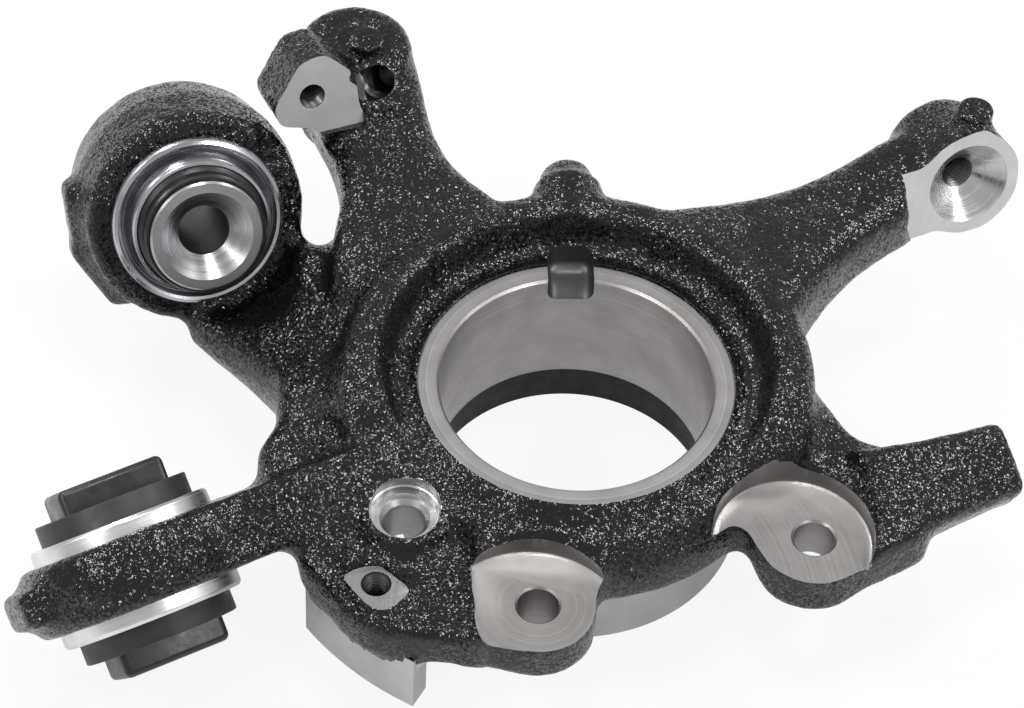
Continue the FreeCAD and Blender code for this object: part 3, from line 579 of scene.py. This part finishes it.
# radii, levels and (radius, level) corners in mm, on each feature's own axis
cuts = {
    "seat": {"radius": 45.0, "depth": 45.0, "relief": 47.4, "reliefRun": 1.5, "bottom": -66,
             "chamfer": 0.8, "mouth": 6},
    "collar": {"radius": 51.7, "root": -6.0, "moat": 52.1, "moatTop": 9.0},
    "spigot": {"radius": 58.0, "low": -61.0, "high": -34.0, "clearRadius": 72.0, "clearLow": -72.0},
    "slot": {"half": 7.8, "inner": 36.0, "reach": 59.8, "depth": 8.8, "top": 16.0,
             "corner": 4.0},
    "ears": ({"centre": nearEar, "mill": 31.0, "offset": (-2, -10, 0)},
             {"centre": farEar, "mill": 26.0, "offset": (-7, -3, 0)}),
    "millCorner": 1.6,
    "millTop": 16,
    "earDrill": [(10.45, 3.0), (6.75, -0.7), (6.75, -30)],
    "stepDrill": [(11.5, 8.0), (11.5, 0), (10.9, -0.4), (10.4, -3.0), (8.2, -3.0), (6.75, -4.6),
                  (6.75, -30)],
    "smallMill": (10.6, 0, 8.0),
    "taperMill": (28.0, 0, 24.0),
    "padMill": ((-16.5, -14.5, 0), (17.2, 24, 24)),
    "canBore": (28.0, -30, 30),
    "shellBore": (30.0, -24, 24),
}
castDiscs = [
    # name, foot, radius, height, height that the skin round it is cleared to
    ("lugDisc", Vector((-77.5, 127.0, 20.0)), 6.0, 8.9, 6.2),
    ("taperDisc", Vector((134.2, 120.0, 4.0)), 6.3, 13.2, None),
]
discEdge = {"round": 0.9, "moat": 4.5, "moatTop": 4}
threads = {
    # corners of the mouth; radius, top, bottom, pitch and groove depth; level of the tip
    "small": ([(7.8, 3.0), (4.9, 0.1)], (4.2, -0.4, -13, 1.5, 0.6), -15.2),
    "taper": ([(18.1, 3.0), (15.0, 0.0), (5.8, -8.9)], (5.1, -9.2, -21.5, 1.75, 0.75), -24.2),
    "pad": ([(7.0, 3.0), (4.5, 0.1)], (3.9, -0.4, -14, 1.25, 0.55), -16.2),
    "lug": ([(6.0, 2.6), (6.0, -4.4)], (5.3, -4.5, -22.0, 1.75, 0.7), -25.0),
}
drillTipRadius = 0.4
crest = (0.45, 0.55)     # from where to where the bore's wall stands between two grooves


def grooves(radius, top, bottom, pitch, depth):
    # grooves one pitch apart down the wall of a drilled hole
    corners = [(radius + depth, top)]
    level = top
    while level - pitch > bottom:
        corners += [(radius, level - share * pitch) for share in crest]
        corners.append((radius + depth, level - pitch))
        level -= pitch
    return corners + [(radius, bottom)]


def threadDrill(name, centre, axis, segments=64):
    mouth, wall, tip = threads[name]
    corners = mouth + grooves(*wall) + [(drillTipRadius, tip)]
    return turnPiece(name + "Drill", corners, place(centre, axis), segments=segments)


def earMill(ear):
    radius, corner = ear["mill"], cuts["millCorner"]
    inset = roundShare * corner
    corners = [(radius - corner, 0), (radius - inset, inset), (radius, corner),
               (radius, cuts["millTop"])]
    return turnPiece("earMill", corners, place(ear["centre"] + Vector(ear["offset"]), upAxis),
                     segments=160)


def machineHub(skin):
    seat, collar, spigot = cuts["seat"], cuts["collar"], cuts["spigot"]
    hub = (hubCentre, upAxis)
    added(skin, rod("spigotBlank", spigot["radius"], spigot["low"], spigot["high"], *hub))
    added(skin, footBlank())
    cutAway(skin, rod("underCut", spigot["clearRadius"], spigot["clearLow"], spigot["low"], *hub))
    cutAway(skin, rod("collarMoat", collar["moat"], 0.0, collar["moatTop"], *hub))
    added(skin, rod("collarRing", collar["radius"], collar["root"], seat["chamfer"], *hub))
    cutAway(skin, turnPiece("seatCut", [
        (seat["radius"] + seat["mouth"], seat["mouth"]), (seat["radius"], 0),
        (seat["radius"], -seat["depth"]), (seat["relief"], -seat["depth"] - seat["reliefRun"]),
        (seat["relief"], seat["bottom"])], place(*hub), segments=192))
    cutAway(skin, slotCutter())


def addDisc(skin, name, discFoot, radius, height, clear):
    where = place(discFoot, upAxis)
    if clear is not None:
        outer, top = radius + discEdge["moat"], height + discEdge["moatTop"]
        cutAway(skin, turnPiece(name + "Clear", [
            (radius, clear), (outer, clear), (outer, top), (radius, top)],
            where, ring=True, segments=64))
    edge = discEdge["round"]
    added(skin, turnPiece(name, [
        (radius, 0), (radius, height - edge), (radius - edge / 3, height - edge / 3),
        (radius - edge, height)], where, segments=64))


def machine(skin):
    machineHub(skin)
    for disc in castDiscs:
        addDisc(skin, *disc)
    for ear in cuts["ears"]:
        cutAway(skin, earMill(ear))
        cutAway(skin, turnPiece("earDrill", cuts["earDrill"], place(ear["centre"], upAxis)))
    cutAway(skin, turnPiece("stepDrill", cuts["stepDrill"], place(stepHole, upAxis)))
    cutAway(skin, rod("smallMill", *cuts["smallMill"], smallHole, upAxis))
    cutAway(skin, threadDrill("small", smallHole, upAxis))
    cutAway(skin, rod("taperMill", *cuts["taperMill"], taperCentre, sideAxis))
    cutAway(skin, threadDrill("taper", taperCentre, sideAxis, segments=96))
    cutAway(skin, boxCutter("padMill", *cuts["padMill"], place(padCentre, sideAxis)))
    cutAway(skin, threadDrill("pad", padCentre, sideAxis))
    cutAway(skin, threadDrill("lug", lugCentre, lugAxis))
    cutAway(skin, rod("canBore", *cuts["canBore"], ballCentre, ballAxis))
    cutAway(skin, rod("shellBore", *cuts["shellBore"], bushCentre, bushAxis))
    print("machined", len(skin.data.polygons), "faces")


def slotCutter():
    # a slot with rounded corners, open towards the bore
    slot = cuts["slot"]
    cutter = boxCutter("slotCut", (slot["inner"], -slot["half"], -slot["depth"]),
                       (slot["reach"], slot["half"], slot["top"]),
                       Matrix.Rotation(slotAzimuth, 4, "Z"))
    bevelled(cutter, slot["corner"], 5)
    return cutter


foot = {"outer": 107.6, "inner": 99.1, "low": -50.0, "high": -26.0, "start": -141.0,
        "sweep": 25.0, "steps": 16}


def footBlank():
    # one upright slab, spun round the hub
    clearSelection()
    bpy.ops.mesh.primitive_plane_add(size=1)
    blank = bpy.context.object
    blank.name = "footBlank"
    corners = [(radius, level) for level in (foot["low"], foot["high"])
               for radius in (foot["inner"], foot["outer"])]
    for vertex, (radius, level) in zip(blank.data.vertices, corners):
        vertex.co = (radius * mm, 0, level * mm)
    bpy.ops.object.mode_set(mode="EDIT")
    bpy.ops.mesh.select_all(action="SELECT")
    # spin turns the other way round for a positive angle
    bpy.ops.mesh.spin(steps=foot["steps"], angle=-math.radians(foot["sweep"]), center=(0, 0, 0),
                      axis=(0, 0, 1))
    closeMesh()
    return settle(blank, Matrix.Rotation(math.radians(foot["start"]), 4, "Z"))


skinFinishes = ["castPaint", "seatIron", "earIron", "sideIron", "taperIron", "footIron",
                "reliefPaint", "threadIron", "boreShadeAndSlotFinish", "stepIron", "padIron"]
dress = {
    "slack": 0.03,           # mm past a cut's own size, as zones go by the middles of faces
    "seatSlack": 0.4,
    "collarSlack": 0.1,
    "collarFoot": 0.05,      # below this level the collar's rim keeps the paint
    "reliefSlack": 0.2,
    "reliefLow": -60.8,
    "slotStart": 45.3,       # along the slot, just outside the bore
    "slotSlack": 0.05,
    "slotLevels": (-9, 14),
    "slotFloor": -3,         # above this level only the slot's walls are bare, not the skin's top
    "slotWallFacing": 0.3,   # most that the normal of a wall points up
    "earHole": (7.6, -22, 0.1),
    "padReach": 36,
    "padSlack": 0.05,
    "ballEye": (40.0, -22, 22),      # the eye beside the pad keeps its paint
    "spigotInner": 48.0,
    "spigotEndSlack": 0.1,
    "spigotLevels": (-61.1, -60.5),
    "spigotTop": -33.0,
    "spigotSlack": 0.4,
    "spigotWallFacing": 0.2,
    "footSlack": 0.2,
    "footBox": (-40, -60, -29.0),    # the foot's faces lie below each of these x, y and z
}
bareZones = [
    # finish, centre, axis, reach, lowest and highest level: later rows go over earlier ones
    # painted light: the step hole gets a lighter copy of the bare iron against its shadow
    ("stepIron", stepHole, upAxis, 11.55, -30, 8),
    # the rows for the threaded holes paint shade into them with a dark copy of the bare iron
    ("threadIron", smallHole, upAxis, 5.0, -16, -0.3),
    ("taperIron", taperCentre, sideAxis, 15.05, -9.0, -0.02),
    ("threadIron", taperCentre, sideAxis, 6.2, -25, -9.0),
    ("threadIron", padCentre, sideAxis, 4.6, -17, -0.3),
    ("threadIron", lugCentre, lugAxis, 6.1, -26, 6.05),
]


def zoneRows():
    seat, face, slack = cuts["seat"], cuts["collar"]["radius"], dress["slack"]
    deep, high = -seat["depth"] - dress["seatSlack"], seat["chamfer"] + slack
    rows = [
        ("seatIron", hubCentre, upAxis, face - dress["seatSlack"], deep, high),
        ("seatIron", hubCentre, upAxis, face + dress["collarSlack"], dress["collarFoot"], high),
        ("reliefPaint", hubCentre, upAxis, seat["relief"] + dress["reliefSlack"],
         dress["reliefLow"], deep),
    ]
    for ear in cuts["ears"]:
        rows.append(("earIron", ear["centre"] + Vector(ear["offset"]), upAxis,
                     ear["mill"] + slack, -slack, cuts["millTop"]))
        rows.append(("earIron", ear["centre"], upAxis, *dress["earHole"]))
    for finish, mill, centre, axis in (("earIron", "smallMill", smallHole, upAxis),
                                       ("sideIron", "taperMill", taperCentre, sideAxis)):
        radius, low, top = cuts[mill]
        rows.append((finish, centre, axis, radius + slack, low - slack, top))
    return rows + bareZones


def slotZone(centres, normals):
    slot, (low, high) = cuts["slot"], dress["slotLevels"]
    along = centres @ np.array(slotAxis)
    across = centres @ np.array(upAxis.cross(slotAxis))
    level = centres[:, 2]
    wall = (level < dress["slotFloor"]) | (normals[:, 2] < dress["slotWallFacing"])
    return ((abs(across) < slot["half"] + dress["slotSlack"]) & (along > dress["slotStart"])
            & (along < slot["reach"] + dress["slotSlack"]) & (level > low) & (level < high) & wall)


def undersideZone(centres, normals):
    # the spigot's end and wall, and the foot
    spigot = cuts["spigot"]
    far = np.sqrt((centres[:, :2] ** 2).sum(1))
    end = within(centres, hubCentre, upAxis, spigot["radius"] + dress["spigotEndSlack"],
                 *dress["spigotLevels"])
    wall = ((abs(far - spigot["radius"]) < dress["spigotSlack"])
            & (abs(normals[:, 2]) < dress["spigotWallFacing"])
            & (centres[:, 2] < dress["spigotTop"]))
    slab = ((far > foot["inner"] - dress["footSlack"]) & (far < foot["outer"] + dress["footSlack"])
            & (centres < np.array(dress["footBox"])).all(1))
    return (end & (far > dress["spigotInner"])) | wall | slab


smoothAngles = {"casting": 32, "other": 35}      # degrees


def dressSkin(skin):
    # each machined zone gets its bare finish, the step hole a lighter copy as painted light and the
    # threaded holes a dark copy as painted shade, and the rest keeps the paint
    skin.data.materials.clear()
    for name in skinFinishes:
        skin.data.materials.append(finishes[name])
    centres, normals = facesOf(skin)
    zone = np.zeros(len(centres), dtype=np.int32)
    pad = inPlane((centres, normals), padCentre, sideAxis, dress["padReach"], dress["padSlack"])
    pad &= within(centres, padCentre, sideAxis, dress["padReach"], -dress["slack"],
                  cuts["padMill"][1][2])
    pad &= ~within(centres, ballCentre, ballAxis, *dress["ballEye"])
    zone[pad] = skinFinishes.index("padIron")
    for finish, *size in zoneRows():
        zone[within(centres, *size)] = skinFinishes.index(finish)
    # the slot's own dark finish, the same one that paints shade into the sleeve's bore
    zone[slotZone(centres, normals)] = skinFinishes.index("boreShadeAndSlotFinish")
    zone[undersideZone(centres, normals)] = skinFinishes.index("footIron")
    skin.data.polygons.foreach_set("material_index", zone)
    smoothShaded(skin, smoothAngles["casting"])


castingSkin = castBlank()
machine(castingSkin)
dressSkin(castingSkin)
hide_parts("carrier_casting")
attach(castingSkin, "carrier")
print("casting done")


edgeBevel = {"segments": 2, "angle": 28}


def finishPiece(piece, finish, body, node, edge=None):
    if edge is not None:
        bevelled(piece, edge, **edgeBevel)
    piece.data.materials.clear()
    piece.data.materials.append(finishes[finish])
    smoothShaded(piece, smoothAngles["other"])
    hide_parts(node)
    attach(piece, body)


def innerPaintedShade(piece, finish, radius, half):
    # what lies near the joint's axis gets a darker finish of its own: painted shade in the sleeve's
    # bore and in the can's funnel
    piece.data.materials.append(finishes[finish])
    inner = within(facesOf(piece)[0], ballCentre, ballAxis, radius, -half, half)
    piece.data.polygons.foreach_set("material_index", inner.astype(np.int32))


def mirrored(corners):
    return [(radius, -level) for radius, level in reversed(corners)]


# radii, levels and (radius, level) corners in mm, from the middle of the ball
ballJoint = {
    "bore": 8.75, "boreShadeZone": (8.85, 31), "mouth": 15.5, "mouthLevel": 30.5, "half": 37.0,
    "flange": 19.3, "flangeLevel": 29.6, "edge": 0.7, "neck": 14.5, "neckLevel": 26.4,
    "ball": 19.8, "ballSteps": 12,
    "canFront": [
        (28.0, 0), (28.0, 19.6), (29.1, 19.9), (29.7, 20.7), (29.6, 21.9), (28.9, 22.9),
        (27.8, 23.3), (26.8, 23.0), (26.2, 22.2), (25.9, 21.2), (25.5, 21.0), (25.0, 21.5)],
    "canBack": [(28.0, 0), (28.0, 18.9), (27.4, 20.2), (26.0, 21.0)],
    "funnel": [
        (24.5, 22.6), (23.5, 25.0), (22.9, 26.4), (22.3, 26.9), (21.7, 26.7), (21.4, 25.8),
        (21.4, 25.5), (23.0, 13.0)],
    "funnelShadeZone": (25.3, 40),
    "boot": [
        (19.5, 35.0), (20.3, 35.0), (20.9, 34.2), (20.8, 32.6), (20.3, 31.0), (20.6, 29.6),
        (21.6, 28.7), (22.3, 27.8), (22.2, 27.1), (21.2, 25.8), (20.4, 25.6), (20.0, 27.0),
        (19.6, 28.6), (19.45, 31.0)],
    "clampRing": [
        (22.2, 27.0), (23.2, 27.1), (23.5, 27.7), (23.2, 28.4), (22.4, 28.5), (22.0, 27.9)],
}


def sleeveCorners():
    joint = ballJoint
    flange, half, edge = joint["flange"], joint["half"], joint["edge"]
    corners = [(joint["bore"], 0), (joint["bore"], joint["mouthLevel"]), (joint["mouth"], half),
               (flange - edge, half), (flange, half - edge), (flange, joint["flangeLevel"]),
               (joint["neck"], joint["neckLevel"])]
    start = math.asin(joint["neck"] / joint["ball"])
    for index in range(joint["ballSteps"]):
        angle = start + (math.pi / 2 - start) * index / joint["ballSteps"]
        corners.append((joint["ball"] * math.sin(angle), joint["ball"] * math.cos(angle)))
    return corners + [(joint["ball"], 0)] + mirrored(corners[1:])


def buildBallJoint():
    where = place(ballCentre, ballAxis)
    joint = ballJoint
    sleeve = turnPiece("ballSleeve", sleeveCorners(), where, ring=True, segments=128)
    finishPiece(sleeve, "sleeveSteel", "sleeve", "ball_sleeve")
    # painted shade: the sleeve's bore gets a dark copy of its steel
    innerPaintedShade(sleeve, "boreShadeAndSlotFinish", *joint["boreShadeZone"])
    front = joint["canFront"] + joint["funnel"]
    back = joint["canBack"] + joint["funnel"]
    can = turnPiece("jointCan", front + mirrored(back[1:]), where, ring=True, segments=160)
    finishPiece(can, "canSteel", "carrier", "joint_can")
    # painted shade: the can's funnel inside its mouth gets a darker copy of its steel
    innerPaintedShade(can, "funnelPaintedShade", *joint["funnelShadeZone"])
    turnBack = Matrix.Rotation(math.pi, 4, "X")
    for side, there in (("front", where), ("rear", where @ turnBack)):
        boot = turnPiece("jointBoot_" + side, joint["boot"], there, ring=True, segments=128)
        finishPiece(boot, "bootRubber", "carrier", "boot_" + side)
        clampRing = turnPiece("bootClamp_" + side, joint["clampRing"], there, ring=True,
                              segments=128)
        finishPiece(clampRing, "canSteel", "carrier", "boot_clamp_" + side)
        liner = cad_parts["liner_" + side]
        liner.data.materials.clear()
        liner.data.materials.append(finishes["linerPlastic"])


# radii and half lengths in mm
bush = {
    "shell": 30.0, "wall": 2.5, "shellHalf": 16.5, "lead": (0.8, 1.2), "shellEdge": 0.2,
    "rubber": 25.5, "rubberHalf": 23.5, "rubberDrop": 0.4, "rubberGap": 0.05, "rubberEdge": 0.6,
    "core": (36.0, 26.0), "coreHalf": 31.5, "coreEdge": 2.2, "bore": 6.25, "past": 40,
}


def buildBush():
    where = place(bushCentre, bushAxis)
    outer, half, (leadIn, leadRun) = bush["shell"], bush["shellHalf"], bush["lead"]
    inner = outer - bush["wall"]
    shell = turnPiece("bushShell", [
        (inner, -half), (outer - leadIn, -half), (outer, -half + leadRun),
        (outer, half - leadRun), (outer - leadIn, half), (inner, half)],
        where, ring=True, segments=160)
    finishPiece(shell, "shellSteel", "carrier", "bush_shell", bush["shellEdge"])
    slim, tall, past = bush["rubber"], bush["rubberHalf"], bush["past"]
    wide, low = inner - bush["rubberGap"], half - bush["rubberDrop"]
    rubber = turnPiece("bushRubber", [
        (slim, -tall), (slim, -low), (wide, -low), (wide, low), (slim, low), (slim, tall)],
        where, segments=128)
    width, depth = (side / 2 for side in bush["core"])
    cutAway(rubber, boxCutter("coreSeat", (-width, -depth, -past), (width, depth, past), where))
    finishPiece(rubber, "bushRubber", "carrier", "bush_rubber", bush["rubberEdge"])
    core = boxCutter("bushCore", (-width, -depth, -bush["coreHalf"]),
                     (width, depth, bush["coreHalf"]), where)
    bevelled(core, bush["coreEdge"], 4)
    cutAway(core, rod("coreDrill", bush["bore"], -past, past, bushCentre, bushAxis))
    finishPiece(core, "corePlastic", "carrier", "bush_core")


buildBallJoint()
print("ball joint done")
buildBush()
print("bush done")


studio = {
    "white": (1, 1, 1, 1),
    "floor": 0.9,
    "floorWhite": 0.9,       # how much of the floor the camera sees as plain white
    "floorSize": 6,
    "floorGap": 0.0002,
    "glossWhite": 0.42,      # how much white the metal and the paint reflect
    "world": 0.22,
    "lampSize": 0.23,
    "aim": (0, 0, 0),
    "lamps": [
        # name, place, power
        ("backLeftSoftbox", (-0.62, 0.68, 0.95), 4.0),
        ("backRightSoftbox", (0.66, 0.64, 0.95), 4.0),
        ("leftSoftbox", (-1.00, 0.05, 0.85), 4.0),
        ("rightSoftbox", (1.00, 0.00, 0.85), 4.0),
        ("frontRightSoftbox", (0.70, -0.65, 0.85), 3.5),
        ("frontLeftSoftbox", (-0.75, -0.55, 0.85), 3.5),
        ("topSoftbox", (0.0, 0.05, 1.25), 4.0),
    ],
}


def whiteShare(tree, direct):
    # camera rays see plain white, and so in part do reflections
    rays = tree.nodes.new("ShaderNodeLightPath")
    parts = []
    for ray, share in (("Is Camera Ray", direct), ("Is Glossy Ray", studio["glossWhite"])):
        part = tree.nodes.new("ShaderNodeMath")
        part.operation = "MULTIPLY"
        part.inputs[1].default_value = share
        tree.links.new(rays.outputs[ray], part.inputs[0])
        parts.append(part.outputs[0])
    parts.append(rays.outputs["Is Transmission Ray"])
    total = parts[0]
    for part in parts[1:]:
        most = tree.nodes.new("ShaderNodeMath")
        most.operation = "MAXIMUM"
        tree.links.new(total, most.inputs[0])
        tree.links.new(part, most.inputs[1])
        total = most.outputs[0]
    return total


def mixWhite(tree, plain, whiteKind, direct, output):
    # the surface as it is, and plain white by the share above
    white = tree.nodes.new(whiteKind)
    white.inputs["Color"].default_value = studio["white"]
    mix = tree.nodes.new("ShaderNodeMixShader")
    tree.links.new(whiteShare(tree, direct), mix.inputs[0])
    tree.links.new(plain.outputs[0], mix.inputs[1])
    tree.links.new(white.outputs[0], mix.inputs[2])
    tree.links.new(mix.outputs[0], tree.nodes[output].inputs["Surface"])


def buildStudio():
    scene = bpy.context.scene
    scene.view_settings.view_transform = "Standard"
    world = bpy.data.worlds.new("paleStudio")
    scene.world = world
    world.use_nodes = True
    background = world.node_tree.nodes["Background"]
    background.inputs["Color"].default_value = studio["white"]
    background.inputs["Strength"].default_value = studio["world"]
    mixWhite(world.node_tree, background, "ShaderNodeBackground", 1.0, "World Output")

    clearSelection()
    bpy.ops.mesh.primitive_plane_add(
        size=studio["floorSize"], location=(0, 0, cadBounds[0][2] - studio["floorGap"]))
    floor = bpy.context.object
    floor.name = "studioFloor"
    settle(floor)
    material, tree, shader = newMaterial("paleFloor", 0.0, 0.9, (studio["floor"],) * 3)
    mixWhite(tree, shader, "ShaderNodeEmission", studio["floorWhite"], "Material Output")
    floor.data.materials.append(material)

    for name, spot, power in studio["lamps"]:
        light = bpy.data.lights.new(name, "AREA")
        light.size = studio["lampSize"]
        light.energy = power
        lamp = bpy.data.objects.new(name, light)
        scene.collection.objects.link(lamp)
        lamp.location = spot
        aim = Vector(studio["aim"]) - Vector(spot)
        lamp.rotation_euler = aim.to_track_quat("-Z", "Y").to_euler()


photoView = {
    "target": (-21.52, 11.21, 0.0),
    "distance": 1150.0,
    "elevation": 48.92,
    "roll": -3.07,
    "focalPixels": 3492.46,
    "widthPixels": 1024,
    "sensorWidth": 36.0,
}


def buildCamera():
    tilt = math.radians(photoView["elevation"])
    roll = math.radians(photoView["roll"])
    back = Vector((0, -math.cos(tilt), math.sin(tilt)))
    right = Vector((1, 0, 0))
    up = back.cross(right)
    sideways = right * math.cos(roll) - up * math.sin(roll)
    upright = right * math.sin(roll) + up * math.cos(roll)
    data = bpy.data.cameras.new("photoCamera")
    data.sensor_width = photoView["sensorWidth"]
    data.lens = photoView["focalPixels"] / photoView["widthPixels"] * data.sensor_width
    camera = bpy.data.objects.new("photoCamera", data)
    bpy.context.scene.collection.objects.link(camera)
    turn = Matrix((sideways, upright, back)).transposed().to_4x4()
    spot = Vector(photoView["target"]) * mm + back * photoView["distance"] * mm
    camera.matrix_world = Matrix.Translation(spot) @ turn
    bpy.context.scene.camera = camera


buildStudio()
buildCamera()
print("studio done")
